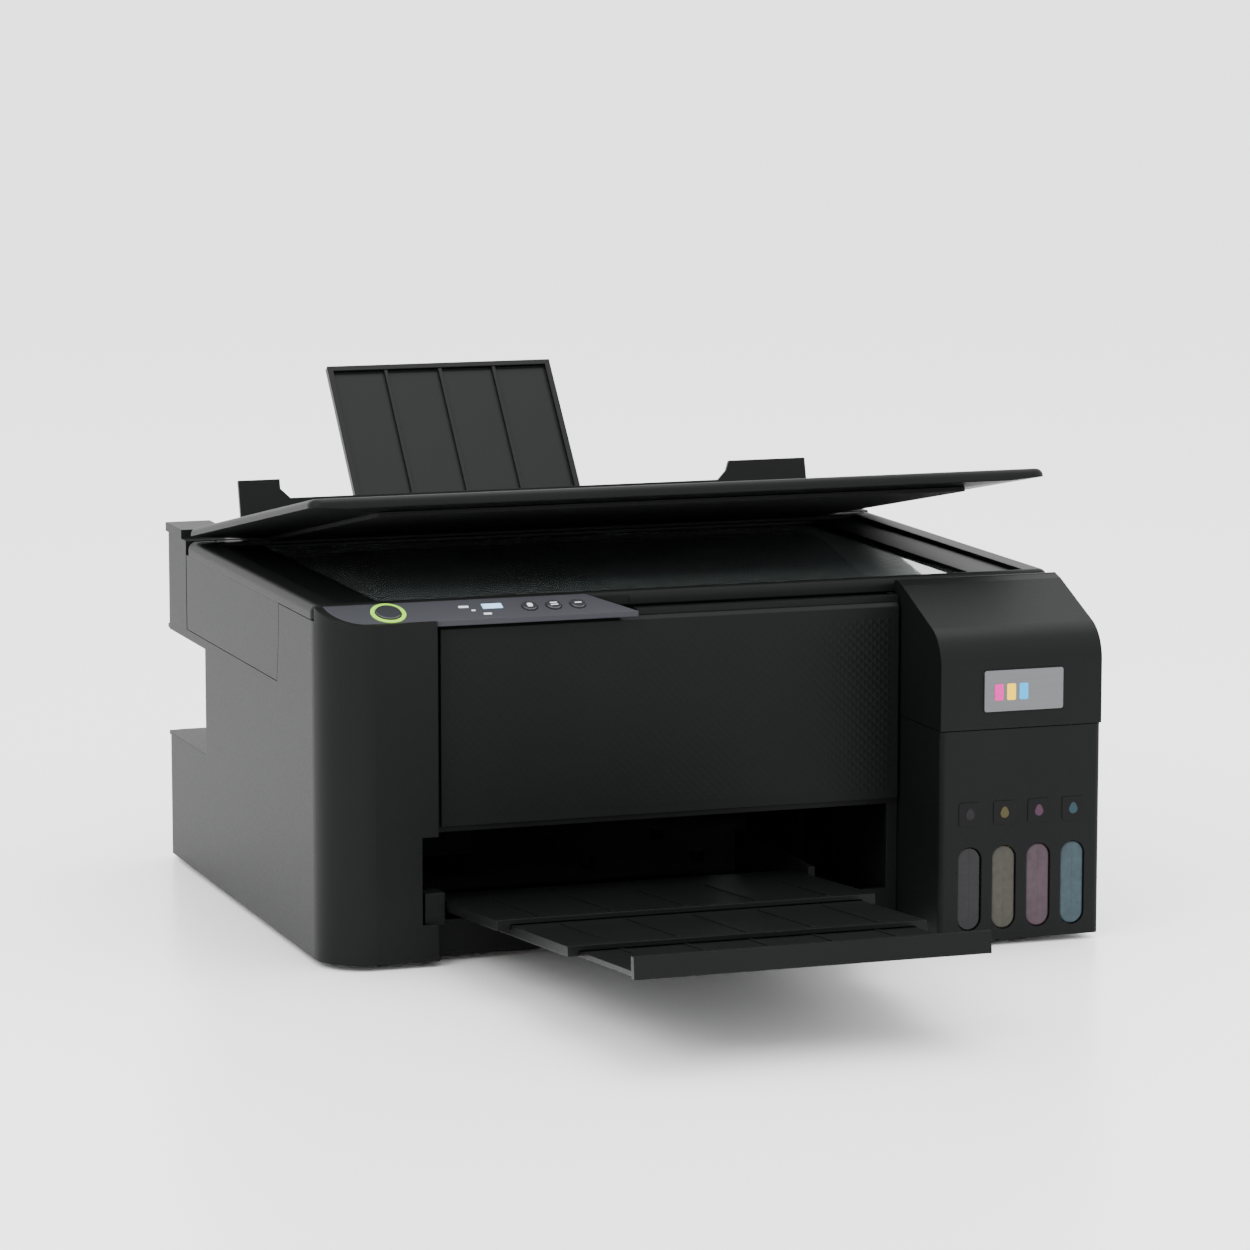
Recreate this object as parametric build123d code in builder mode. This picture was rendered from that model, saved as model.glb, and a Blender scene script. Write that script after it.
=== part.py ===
# Supertank inkjet printer with a flatbed scanner, a rear sheet feeder and a front output tray.
# X runs to the right, Y runs to the back, Z is up, and the printer stands on Z = 0.
import os

from build123d import *

os.makedirs("parts", exist_ok=True)

# Driving sizes, in millimetres
width = 375
depth = 347
rim_top = 172
wall = 2.5
gap = 0.4
seam_z = 126.3
foot_height = 3
tray_reach = 194
support_reach = 37
cover_thick = 7
cover_angle = 10.5

# Depths are counted from the face of the ink tank block
front = (tray_reach - depth - support_reach) / 2
half = width / 2
right = half
left = -half
back = front + depth

# Front steps
step_y = front + 42
panel_y = front + 50
corner_radius = 24
left_block_x = -133
output_left = -141
panel_bottom = 65.4
panel_top = rim_top - 10.7
panel_thick = 3

# Ink tank block
tank_left = 104
tank_back = front + 127.7
tank_seam = 105.9
tank_pitch = 17.9
tank_width = tank_pitch - 1.5
tank_first = tank_left + 15.5
tank_floor = 6
tank_top = 98
window_width = 12.5

# Scanner unit
scan_front = front + 63
scan_back = front + 301.6
rim_base = rim_top - 7
scan_floor = rim_top - 22
pivot_y = front + 298
pivot_z = rim_top - 4
bed_margin = 13

# Rear sheet feeder, on a plane that leans back
feed_lean = 40
feed_y = front + 316
slot_half = 112

# Output tray, a stack of three stages on a plane that rises towards the front
tray_x = -35
tray_half = 93
tray_lift = 4.8
tray_z = 30
tray_plate = 2.4
tray_step = 2.8

# Print mechanism
cap_x = 138
cap_y = front + 192
platen_z = 66


def save(part, name):
    part.label = name
    export_step(part, f"parts/{name}.step")


def slab(x0, x1, y0, y1, z0, z1):
    """A plain block between two corners, used as a tool or a private body."""
    size = (x1 - x0, y1 - y0, z1 - z0)
    return Pos((x0 + x1) / 2, (y0 + y1) / 2, (z0 + z1) / 2) * Box(*size, mode=Mode.PRIVATE)


def cut(x0, x1, y0, y1, z0, z1):
    """Takes a plain block out of the part that is being built."""
    add(slab(x0, x1, y0, y1, z0, z1), mode=Mode.SUBTRACT)


# The skirt of the scanner unit swings past the housing along an arc about the scanner's pivot
seam_radius = 175
with BuildPart() as seam_drum:
    with BuildSketch(Plane.YZ.offset(left - 1)):
        with Locations((pivot_y, pivot_z)):
            Circle(seam_radius)
    extrude(amount=width + 2)
seam_sweep = seam_drum.part & slab(left - 1, right + 1, front + 90, back, seam_z, rim_top)

# sloping strip with the buttons
strip_left = left + 4.5
strip_right_low = -32
strip_right_high = -55
strip_rise = 7
strip_depth = 16.5
strip_top = rim_top - 0.6
strip_low_y = front + 45.5

# the housing's corner carries the strip's slope round to the side
shoulder_top = rim_base - gap
with BuildPart() as shoulder_block:
    with BuildSketch(Plane.YZ.offset(left)):
        with BuildLine():
            Polyline(
                (step_y, shoulder_top - 1),
                (step_y, shoulder_top),
                (strip_low_y, shoulder_top),
                (strip_low_y + strip_depth, strip_top),
                (strip_low_y + strip_depth, shoulder_top - 1),
                close=True,
            )
        make_face()
    extrude(amount=corner_radius)
    with BuildSketch(Plane.XY.offset(shoulder_top - 1)):
        with Locations((0, step_y + half)):
            RectangleRounded(width, width, corner_radius)
    extrude(amount=12, mode=Mode.INTERSECT)
shoulder = shoulder_block.part
strip_round = corner_radius - 5
with BuildPart() as seat_block:
    with BuildSketch(Plane.XY.offset(panel_top + gap)):
        with Locations((strip_left + half, strip_low_y + half)):
            RectangleRounded(width + 2 * gap, width + 2 * gap, strip_round + gap)
    extrude(amount=12)
strip_seat = seat_block.part & slab(
    strip_left - gap, strip_right_low + 1, strip_low_y - gap, step_y + 30, panel_top + gap, rim_top + 1
)

# ---------------------------------------------------------------- housing
body_plan = [
    (left, step_y),
    (left_block_x, step_y),
    (left_block_x, panel_y + panel_thick),
    (tank_left - gap, panel_y + panel_thick),
    (tank_left - gap, tank_back + gap),
    (right, tank_back + gap),
    (right, back),
    (left, back),
]
opening_low = 20.5
opening_top = panel_bottom - 3
slot_front = front + 302.8
recess = (left - 1, left + 40, front + 266, back + 1, 67, 121.5)

with BuildPart() as main_housing:
    with BuildSketch(Plane.XY.offset(foot_height)) as plan:
        with BuildLine():
            Polyline(*body_plan, close=True)
        make_face()
        fillet(plan.vertices().group_by(Axis.X)[0].sort_by(Axis.Y)[0], corner_radius)
        fillet(plan.vertices().group_by(Axis.Y)[-1], 9)
    extrude(amount=seam_z - foot_height)
    with BuildSketch(Plane.XY.offset(foot_height)) as inner:
        with BuildLine():
            Polyline(*body_plan, close=True)
        make_face()
        fillet(inner.vertices().group_by(Axis.X)[0].sort_by(Axis.Y)[0], corner_radius)
        fillet(inner.vertices().group_by(Axis.Y)[-1], 9)
        offset(amount=-wall, mode=Mode.REPLACE)
    extrude(amount=seam_z - foot_height - wall, mode=Mode.SUBTRACT)
    # front upper band, which the scanner rim rests above
    with BuildSketch(Plane.XY.offset(seam_z)) as band:
        with BuildLine():
            Polyline(
                (left, step_y),
                (left_block_x, step_y),
                (left_block_x, panel_y + panel_thick),
                (tank_left - gap, panel_y + panel_thick),
                (tank_left - gap, tank_back),
                (left, tank_back),
                close=True,
            )
        make_face()
        fillet(band.vertices().group_by(Axis.X)[0].sort_by(Axis.Y)[0], corner_radius)
    extrude(amount=rim_base - gap - seam_z)
    with BuildSketch(Plane.XY.offset(seam_z - wall)):
        with Locations(((left + tank_left) / 2, (panel_y + tank_back) / 2 + 4)):
            Rectangle(tank_left - left - 2 * wall, tank_back - panel_y - 8)
    extrude(amount=rim_base - seam_z + wall, mode=Mode.SUBTRACT)
    add(seam_sweep, mode=Mode.SUBTRACT)
    # shoulder and seat of the button strip
    add(shoulder)
    add(strip_seat, mode=Mode.SUBTRACT)
    cut(strip_left + 12, strip_right_low - 8, strip_low_y + 2, step_y + 30, 156, rim_base)
    with BuildSketch(Plane.XY.offset(seam_z - wall)):
        with Locations(((left + left_block_x) / 2, panel_y + 4)):
            Rectangle(left_block_x - left - 2 * wall - 14, 14)
    extrude(amount=rim_base - seam_z - 10, mode=Mode.SUBTRACT)
    # deck opening over the print mechanism and the sheet path
    cut(-166, 166, tank_back + 6, front + 300, seam_z - wall - 1, seam_z + 1)
    # where the scanner bed hangs below the rim
    cut(tank_left - 6, tank_left + 1, front + 69, tank_back + 1, scan_floor - 1, rim_base)
    # output opening and the hollow behind it
    cut(output_left, tank_left - 6, step_y - 1, panel_y + 12, opening_low, opening_top)
    # fixed end stop beside the tray
    add(slab(output_left + 2, tray_x - tray_half - 1.2, step_y + 3, front + 55.6, opening_low - 1, 35))
    # rear left recess for the mains inlet
    add(slab(left + 1, left + 42, front + 264, back - 1, 65, 123.5))
    cut(*recess)
    cut(118, 134, back - wall - 1, back + 1, 20, 35)
    with BuildSketch(Plane.YZ.offset(left + 39)):
        with Locations((front + 295, 90)):
            SlotOverall(22.2, 12.2)
    extrude(amount=4, mode=Mode.SUBTRACT)
    # sheet path through the rear
    cut(-slot_half - 8, slot_half + 8, front + 300, back - 8, seam_z - wall - 1, seam_z + 1)
save(main_housing.part, "main_housing")

# ---------------------------------------------------------------- base and feet
with BuildPart() as base_tray:
    with BuildSketch(Plane.XY.offset(foot_height)) as floor_plan:
        with BuildLine():
            Polyline(*body_plan, close=True)
        make_face()
        fillet(floor_plan.vertices().group_by(Axis.X)[0].sort_by(Axis.Y)[0], corner_radius)
        fillet(floor_plan.vertices().group_by(Axis.Y)[-1], 9)
        offset(amount=-wall - 0.2, mode=Mode.REPLACE)
    extrude(amount=3)
    with Locations((0, front + 250, foot_height + 3)):
        with GridLocations(60, 62, 5, 2):
            Cylinder(3.5, 5, align=(Align.CENTER, Align.CENTER, Align.MIN))
    # posts that the capping station slides on, and the rails beside the output tray
    with Locations((cap_x - 17, cap_y, foot_height + 2), (cap_x + 17, cap_y, foot_height + 2)):
        Cylinder(3, 36, align=(Align.CENTER, Align.CENTER, Align.MIN))
    for side in (-1, 1):
        rail = sorted((tray_x + side * (tray_half + 0.5), tray_x + side * (tray_half + 4)))
        add(slab(rail[0], rail[1], front + 56, front + 158, foot_height + 2, 33))
save(base_tray.part, "base_tray")

foot_x = half - 26
foot_places = [(-foot_x, front + 70), (-foot_x, back - 26), (foot_x, back - 26), (foot_x - 10, front + 30)]
with BuildPart() as rubber_feet:
    with BuildSketch(Plane.XY):
        with Locations(*foot_places):
            Circle(9)
    extrude(amount=foot_height)
save(rubber_feet.part, "rubber_feet")

# ---------------------------------------------------------------- front
with BuildPart() as front_panel:
    with BuildSketch(Plane.XY.offset(panel_bottom)):
        with Locations(((left_block_x + tank_left) / 2 + 1.2, panel_y + panel_thick / 2 - gap / 2)):
            Rectangle(tank_left - left_block_x - 5.2, panel_thick - gap)
    extrude(amount=panel_top - panel_bottom)
    top_edges = front_panel.edges().filter_by(Axis.X).group_by(Axis.Z)[-1]
    chamfer(top_edges.sort_by(Axis.Y)[0], 1.8)
save(front_panel.part, "front_panel")

with BuildPart() as strip_blank:
    with BuildSketch(Plane.YZ.offset(strip_left)) as strip_side:
        with BuildLine():
            Polyline(
                (strip_low_y, strip_top - strip_rise),
                (strip_low_y + strip_depth, strip_top),
                (strip_low_y + strip_depth, rim_base),
                (panel_y + panel_thick, rim_base),
                (panel_y + panel_thick, panel_top + 0.5),
                (strip_low_y, panel_top + 0.5),
                close=True,
            )
        make_face()
    extrude(amount=strip_right_low - strip_left)
    with BuildSketch(Plane.XY.offset(panel_top - 1)):
        with BuildLine():
            Polyline(
                (strip_right_high, strip_low_y + strip_depth + 1),
                (strip_right_low + 1, strip_low_y - 1),
                (strip_right_low + 1, strip_low_y + strip_depth + 1),
                close=True,
            )
        make_face()
    extrude(amount=14, mode=Mode.SUBTRACT)
    with BuildSketch(Plane.XY.offset(panel_top - 1)):
        with Locations((strip_left + half, strip_low_y + half)):
            RectangleRounded(width, width, strip_round)
    extrude(amount=14, mode=Mode.INTERSECT)

pad_x = -102
button_places = [("copy_button", -84), ("scan_button", -72), ("cancel_button", -60)]
power_x = -153.5
strip_slope = 23
button_travel = 0.8
button_seat = 2.9
strip_plane = Plane(
    origin=(0, strip_low_y + strip_depth / 2, strip_top - strip_rise / 2),
    x_dir=(1, 0, 0),
    z_dir=Vector(0, -1, 0).rotate(Axis.X, -(90 - strip_slope)),
)
with BuildPart() as button_holes:
    with BuildSketch(strip_plane.offset(-button_seat - button_travel - 0.4)):
        with Locations((power_x, 0)):
            Circle(6.3)
        for _, x in button_places:
            with Locations((x, 0)):
                Circle(3.9)
        with Locations((pad_x, 2.2)):
            Rectangle(10, 4.4)
    extrude(amount=button_seat + button_travel + 3)
with BuildPart() as control_panel:
    add(strip_blank.part)
    add(button_holes.part, mode=Mode.SUBTRACT)
save(control_panel.part, "control_panel")

with BuildPart() as power_button:
    with BuildSketch(strip_plane.offset(-button_seat)):
        with Locations((power_x, 0)):
            Circle(6.1)
    extrude(amount=4.1)
    fillet(power_button.edges().filter_by(GeomType.CIRCLE).sort_by(Axis.Z)[-1], 0.5)
save(power_button.part, "power_button")

for name, x in button_places:
    with BuildPart() as button:
        with BuildSketch(strip_plane.offset(-button_seat)):
            with Locations((x, 0)):
                Circle(3.7)
        extrude(amount=3.9)
        fillet(button.edges().filter_by(GeomType.CIRCLE).sort_by(Axis.Z)[-1], 0.5)
    save(button.part, name)

with BuildPart() as status_window:
    with BuildSketch(strip_plane.offset(-2.5)):
        with Locations((pad_x, 2.2)):
            Rectangle(9.8, 4.2)
    extrude(amount=2.6)
save(status_window.part, "status_window")

# ---------------------------------------------------------------- ink tank block
tank_right = right
with BuildPart() as tank_housing:
    with BuildSketch(Plane.XY.offset(foot_height)) as tank_plan:
        with Locations(((tank_left + tank_right) / 2, (front + tank_back) / 2)):
            Rectangle(tank_right - tank_left, tank_back - front)
        fillet(tank_plan.vertices().group_by(Axis.Y)[0], 3)
    extrude(amount=tank_seam - gap - foot_height)
    cut(tank_left + wall, tank_right - wall, front + wall, tank_back - wall, tank_floor, tank_seam + 1)
    with BuildSketch(Plane.XZ.offset(-front)) as windows:
        for i in range(4):
            with Locations((tank_first + i * tank_pitch, 8 + 20.5)):
                SlotOverall(41, window_width, rotation=90)
    extrude(amount=wall + 1, both=True, mode=Mode.SUBTRACT)
save(tank_housing.part, "tank_housing")

# cover over the tanks, hinged at its rear edge
cover_pivot_y = front + 57
cover_pivot_z = rim_top - 4
cover_profile = [
    (front, tank_seam),
    (front, 149.2),
    (front + 50, 169.5),
    (cover_pivot_y, cover_pivot_z + 3.4),
    (cover_pivot_y, tank_seam),
]
with BuildPart() as tank_cover:
    with BuildSketch(Plane.YZ.offset(tank_left)) as cover_side:
        with BuildLine():
            Polyline(*cover_profile, close=True)
        make_face()
        fillet(cover_side.vertices().group_by(Axis.X)[0].sort_by(Axis.Y)[-1], 19)
    extrude(amount=tank_right - tank_left)
    with BuildSketch(Plane.YZ.offset(tank_left + wall)):
        with BuildLine():
            Polyline(
                (front + wall, tank_seam - 1),
                (front + wall, 134),
                (front + 14, 151.5),
                (front + 50, 166),
                (cover_pivot_y + 1, 166),
                (cover_pivot_y + 1, tank_seam - 1),
                close=True,
            )
        make_face()
    extrude(amount=tank_right - tank_left - 2 * wall, mode=Mode.SUBTRACT)
    with BuildSketch(Plane.YZ.offset(tank_left)):
        with Locations((cover_pivot_y, cover_pivot_z)):
            Circle(3.4)
    extrude(amount=tank_right - tank_left)
save(tank_cover.part, "tank_cover")

inks = ["black", "yellow", "magenta", "cyan"]
tank_deep = 96
for i, ink in enumerate(inks):
    x = tank_first + i * tank_pitch
    with BuildPart() as tank:
        with BuildSketch(Plane.XY.offset(tank_floor + 0.5)):
            with Locations((x, front + wall + 0.3 + tank_deep / 2)):
                RectangleRounded(tank_width, tank_deep, 2)
        extrude(amount=tank_top - tank_floor)
        with BuildSketch(Plane.XY.offset(tank_top + 0.5)):
            with Locations((x, front + 30)):
                Circle(6.5)
        extrude(amount=9)
        with BuildSketch(Plane.XY.offset(tank_top + 9.5)):
            with Locations((x, front + 30)):
                Circle(3.2)
        extrude(amount=-14, mode=Mode.SUBTRACT)
    save(tank.part, f"ink_tank_{ink}")
    with BuildPart() as cap:
        with BuildSketch(Plane.XY.offset(tank_top + 9.7)):
            with Locations((x, front + 30)):
                Circle(7.5)
            with Locations((x, front + 40)):
                Rectangle(5, 14)
        extrude(amount=3)
        with BuildSketch(Plane.YZ.offset(x - 2.5)):
            with Locations((front + 47, tank_top + 11.2)):
                Circle(2.2)
        extrude(amount=5)
        with BuildSketch(Plane.XY.offset(tank_top + 9.7)):
            with Locations((x, front + 30)):
                Circle(2.6)
        extrude(amount=-3)
        with BuildSketch(Plane.YZ.offset(x - 3)):
            with Locations((front + 47, tank_top + 11.2)):
                Circle(1.05)
        extrude(amount=6, mode=Mode.SUBTRACT)
    save(cap.part, f"tank_cap_{ink}")

# side wall and inner wall behind the tank cover
with BuildPart() as right_side_cover:
    with BuildSketch(Plane.XY.offset(tank_seam)) as side_plan:
        with BuildLine():
            Polyline(
                (tank_left + gap, cover_pivot_y + 1),
                (right, cover_pivot_y + 1),
                (right, tank_back),
                (right - wall, tank_back),
                (right - wall, cover_pivot_y + 1 + wall),
                (tank_left + gap, cover_pivot_y + 1 + wall),
                close=True,
            )
        make_face()
    extrude(amount=rim_base - gap - tank_seam)
    add(seam_sweep, mode=Mode.SUBTRACT)
    with BuildSketch(Plane.YZ.offset(right - wall)):
        with Locations((tank_back - 3, (tank_seam + seam_z) / 2)):
            Rectangle(6, seam_z - tank_seam)
    extrude(amount=wall)
save(right_side_cover.part, "right_side_cover")

# ---------------------------------------------------------------- scanner unit
bed_half = 172
bed_front = front + 70
bed_back = front + 291
notch_x = 173
notch_wide = 9
with BuildPart() as scanner_base:
    add(slab(-bed_half, bed_half, bed_front, bed_back, scan_floor, rim_base))
    cut(
        -bed_half + wall, bed_half - wall, bed_front + wall, bed_back - wall, scan_floor + 2, rim_base + 1,
    )
    # shelf that joins the bed to the outer skirt
    add(slab(left, right, tank_back, bed_back, rim_base - 2, rim_base))
    add(slab(left, right, bed_back, scan_back, rim_base - 2, rim_base))
    cut(
        -bed_half + wall, bed_half - wall, bed_front + wall, bed_back - wall, rim_base - 3, rim_base + 1,
    )
    for x in (left, right - wall):
        with BuildSketch(Plane.YZ.offset(x)):
            with Locations(((tank_back - 8 + scan_back) / 2, (seam_z + gap + rim_base) / 2)):
                Rectangle(scan_back - tank_back + 8, rim_base - seam_z - gap)
            with Locations((pivot_y, pivot_z)):
                Circle(seam_radius - gap, mode=Mode.INTERSECT)
        extrude(amount=wall)
    # notches for the hinge ears and the cover hinge posts
    for side in (-1, 1):
        ear = sorted((side * notch_x, side * (notch_x + notch_wide)))
        cut(ear[0], ear[1], pivot_y - 6.5, scan_back + 1, scan_floor, rim_base + 1)
        post = sorted((side * 139.6, side * 156.4))
        cut(post[0], post[1], front + 292, front + 299, rim_base - 3, rim_base + 1)
save(scanner_base.part, "scanner_base")

with BuildPart() as scanner_top_frame:
    with BuildSketch(Plane.XY.offset(rim_base)) as rim_plan:
        with Locations((0, (scan_front + scan_back) / 2)):
            RectangleRounded(width, scan_back - scan_front, 5)
    extrude(amount=rim_top - rim_base)
    rear_top = scanner_top_frame.edges().filter_by(Axis.X).group_by(Axis.Z)[-1].sort_by(Axis.Y)[-1]
    fillet(rear_top, 4)
    cut(-half + bed_margin, half - bed_margin, scan_front + 4, front + 290, rim_top - 2, rim_top + 1)
    cut(-151, 151, front + 74, front + 287, rim_base - 1, rim_top)
    cut(-160, 160, bed_front, bed_back, rim_base - 1, rim_base + 3.2)
    # clearance round the button strip
    cut(
        left - 1, strip_right_low + 1, scan_front - 1, strip_low_y + strip_depth + gap + 1,
        rim_base - 1, rim_top + 1,
    )
    for side in (-1, 1):
        ear = sorted((side * notch_x, side * (notch_x + notch_wide)))
        cut(ear[0], ear[1], pivot_y - 6.5, scan_back + 1, rim_base - 1, rim_top + 1)
        post = sorted((side * 139.6, side * 156.4))
        cut(post[0], post[1], front + 292, front + 299, rim_base - 1, rim_top + 1)
        with BuildSketch(Plane.YZ.offset(side * (notch_x + notch_wide / 2))):
            with Locations((pivot_y, pivot_z)):
                Circle(2.05)
        extrude(amount=7, both=True, mode=Mode.SUBTRACT)
save(scanner_top_frame.part, "scanner_top_frame")

with BuildPart() as scanner_glass:
    add(slab(-159.5, 159.5, bed_front + 0.5, bed_back - 0.5, rim_base, rim_base + 3))
save(scanner_glass.part, "scanner_glass")

# scan carriage under the glass
rod_y = front + 178
rod_z = scan_floor + 5.6
belt_y = front + 195
bar_x = -150
scan_pulley_radius = 4
with BuildPart() as scan_carriage:
    add(slab(bar_x - 9, bar_x + 9, front + 77, front + 285, scan_floor + 8.6, rim_base - 3.2))
    add(slab(bar_x - 9, bar_x + 9, front + 170, front + 186, scan_floor + 2.6, scan_floor + 8.6))
    with BuildSketch(Plane.YZ.offset(bar_x - 10)):
        with Locations((rod_y, rod_z)):
            Circle(2.05)
    extrude(amount=20, mode=Mode.SUBTRACT)
save(scan_carriage.part, "scan_carriage")

with BuildPart() as scan_rod:
    with BuildSketch(Plane.YZ.offset(-bed_half + wall)):
        with Locations((rod_y, rod_z)):
            Circle(2)
    extrude(amount=2 * (bed_half - wall))
save(scan_rod.part, "scan_rod")

scan_pulley_x = bed_half - 8
with BuildPart() as scan_belt:
    with BuildSketch(Plane.XY.offset(scan_floor + 3)):
        with Locations((0, belt_y)):
            SlotCenterToCenter(2 * scan_pulley_x, 2 * scan_pulley_radius + 2)
            SlotCenterToCenter(2 * scan_pulley_x, 2 * scan_pulley_radius + 0.2, mode=Mode.SUBTRACT)
    extrude(amount=4)
save(scan_belt.part, "scan_belt")
for name, side in (("scan_pulley_left", -1), ("scan_pulley_right", 1)):
    with BuildPart() as pulley:
        with BuildSketch(Plane.XY.offset(scan_floor + 2.2)):
            with Locations((side * scan_pulley_x, belt_y)):
                Circle(scan_pulley_radius)
        extrude(amount=5.2)
    save(pulley.part, name)

# ---------------------------------------------------------------- document cover
hinge_y = front + 295.5
hinge_z = rim_top + 0.4 + cover_thick / 2
hinge_axis = Axis((0, hinge_y, hinge_z), (1, 0, 0))
cover_back = hinge_y + cover_thick / 2
knuckle_wide = 16
cover_low = rim_top + 0.4
front_taper = 1.6
end_taper = 3
taper_long = 19
with BuildPart() as cover_closed:
    with BuildSketch(Plane.XY.offset(cover_low)):
        with Locations((0, (scan_front + cover_back) / 2)):
            RectangleRounded(width - 1, cover_back - scan_front, 6)
    extrude(amount=cover_thick)
    top_back = cover_closed.edges().filter_by(Axis.X).group_by(Axis.Y)[-1]
    fillet(top_back, cover_thick / 2 - 0.05)
    # the underside thins towards the front and the two ends
    with BuildSketch(Plane.YZ):
        with BuildLine():
            Polyline(
                (scan_front - 1, cover_low),
                (scan_front - 1, cover_low + front_taper),
                (scan_front + taper_long, cover_low),
                close=True,
            )
        make_face()
    extrude(amount=width, both=True, mode=Mode.SUBTRACT)
    for side in (-1, 1):
        with BuildSketch(Plane.XZ):
            with BuildLine():
                Polyline(
                    (side * (half + 1), cover_low),
                    (side * (half + 1), cover_low + end_taper),
                    (side * (half - 2 * taper_long), cover_low),
                    close=True,
                )
            make_face()
        extrude(amount=depth, both=True, mode=Mode.SUBTRACT)
        x = side * 148
        cut(
            x - knuckle_wide / 2 - gap, x + knuckle_wide / 2 + gap, hinge_y - 5, cover_back + 1,
            rim_top, rim_top + 9,
        )
        with BuildSketch(Plane.YZ.offset(x - 13)):
            with Locations((hinge_y, hinge_z)):
                Circle(1.55)
        extrude(amount=26, mode=Mode.SUBTRACT)
save(cover_closed.part.rotate(hinge_axis, -cover_angle), "document_cover")

with BuildPart() as pad_closed:
    add(slab(-150, 150, front + 76, front + 285, rim_top - 1.7, rim_top + 0.4))
    fillet(pad_closed.edges().filter_by(Axis.Z), 4)
save(pad_closed.part.rotate(hinge_axis, -cover_angle), "document_pad")

with BuildPart() as cover_hinges:
    for side in (-1, 1):
        x = side * 148
        add(slab(
            x - knuckle_wide / 2, x + knuckle_wide / 2, hinge_y - 3, hinge_y + 3, scan_floor + 2.5, hinge_z,
        ))
        with BuildSketch(Plane.YZ.offset(x - knuckle_wide / 2)):
            with Locations((hinge_y, hinge_z)):
                Circle(3)
        extrude(amount=knuckle_wide)
        with BuildSketch(Plane.YZ.offset(x - 12)):
            with Locations((hinge_y, hinge_z)):
                Circle(1.5)
        extrude(amount=24)
save(cover_hinges.part, "cover_hinges")

# ---------------------------------------------------------------- rear sheet feeder
feed_x = -26
cheek_in = 158
with BuildPart() as rear_cover:
    add(slab(left, right, slot_front, back, seam_z, rim_top))
    fillet(rear_cover.edges().filter_by(Axis.Z).group_by(Axis.Y)[-1], 9)
    cut(left + wall, -cheek_in - wall, slot_front + wall, back - wall, seam_z - 1, rim_top - wall)
    cut(cheek_in + wall, right - wall, slot_front + wall, back - wall, seam_z - 1, rim_top - wall)
    cut(-cheek_in, cheek_in, slot_front + wall, back - wall, seam_z - 1, rim_top + 1)
    # the sheet enters the printer under this lip
    cut(-cheek_in, cheek_in, slot_front - 1, slot_front + wall + 1, seam_z - 1, rim_top - 5)
    for side in (-1, 1):
        ear = sorted((side * (notch_x + 0.5), side * (notch_x + notch_wide - 0.5)))
        add(slab(ear[0], ear[1], pivot_y, slot_front + 1, pivot_z - 4, rim_top - 0.8))
        with BuildSketch(Plane.YZ.offset(ear[0])):
            with Locations((pivot_y, pivot_z)):
                Circle(4)
        extrude(amount=ear[1] - ear[0])
        with BuildSketch(Plane.YZ.offset(ear[0])):
            with Locations((pivot_y, pivot_z)):
                Circle(2)
        extrude(amount=ear[1] - ear[0], mode=Mode.SUBTRACT)
        # end caps beside the feeder slot
        cap = sorted((side * 164, side * half))
        add(slab(cap[0], cap[1], front + 312, back - 2, rim_top, rim_top + 4.5))
        with BuildSketch(Plane.YZ.offset(side * (cheek_in + 2))):
            with Locations((front + 308.5, rim_top - 4)):
                Circle(1.55)
        extrude(amount=4, both=True, mode=Mode.SUBTRACT)
save(rear_cover.part, "rear_cover")

with BuildPart() as scanner_pivots:
    for side in (-1, 1):
        with BuildSketch(Plane.YZ.offset(side * (notch_x + notch_wide / 2) - 7)):
            with Locations((pivot_y, pivot_z)):
                Circle(2)
        extrude(amount=14)
save(scanner_pivots.part, "scanner_pivots")

guard_y = front + 308.5
guard_z = rim_top - 4
guard_lean = 15
guard_half = 156
guard_axis = Axis((0, guard_y, guard_z), (1, 0, 0))
with BuildPart() as guard_upright:
    with BuildSketch(Plane.XZ.offset(-guard_y - 1.25)) as guard_shape:
        with BuildLine():
            Polyline(
                (-guard_half, guard_z - 3),
                (-guard_half, guard_z + 33),
                (-guard_half + 22, guard_z + 33),
                (-guard_half + 22, guard_z + 28),
                (-guard_half + 27, guard_z + 23),
                (guard_half - 50, guard_z + 23),
                (guard_half - 45, guard_z + 28),
                (guard_half - 43, guard_z + 33),
                (guard_half, guard_z + 33),
                (guard_half, guard_z - 3),
                close=True,
            )
        make_face()
    extrude(amount=2.5)
    with BuildSketch(Plane.YZ.offset(-guard_half)):
        with Locations((guard_y, guard_z)):
            Circle(3)
    extrude(amount=2 * guard_half)
    with BuildSketch(Plane.YZ.offset(-guard_half - 4.5)):
        with Locations((guard_y, guard_z)):
            Circle(1.5)
    extrude(amount=2 * guard_half + 9)
save(guard_upright.part.rotate(guard_axis, -guard_lean), "feeder_guard")

# planes of the leaning sheet path, with local +Y running down the sheet
lean_z = Vector(0, 1, 0).rotate(Axis.X, -feed_lean)
feed_plane = Plane(origin=(feed_x, feed_y, rim_top), x_dir=(1, 0, 0), z_dir=lean_z)


def lean_slab(x0, x1, v0, v1, n0, n1):
    """A block on the leaning plane: across, down the sheet, and behind it."""
    return feed_plane * slab(x0, x1, v0, v1, n0, n1)


sheet_half = 106
bottom_v = 112
with BuildPart() as paper_hopper:
    add(lean_slab(-sheet_half, sheet_half, 12, bottom_v, 1, 3.4))
    for x in (-70, 0, 70):
        add(lean_slab(x - 1.5, x + 1.5, 16, bottom_v - 4, 0.6, 1))
    hopper_hinge = feed_plane.from_local_coords(Vector(0, 14, 2.2))
    with BuildSketch(Plane.YZ.offset(feed_x - sheet_half)):
        with Locations((hopper_hinge.Y, hopper_hinge.Z)):
            Circle(1.6)
    extrude(amount=2 * sheet_half)
save(paper_hopper.part, "paper_hopper")

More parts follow.
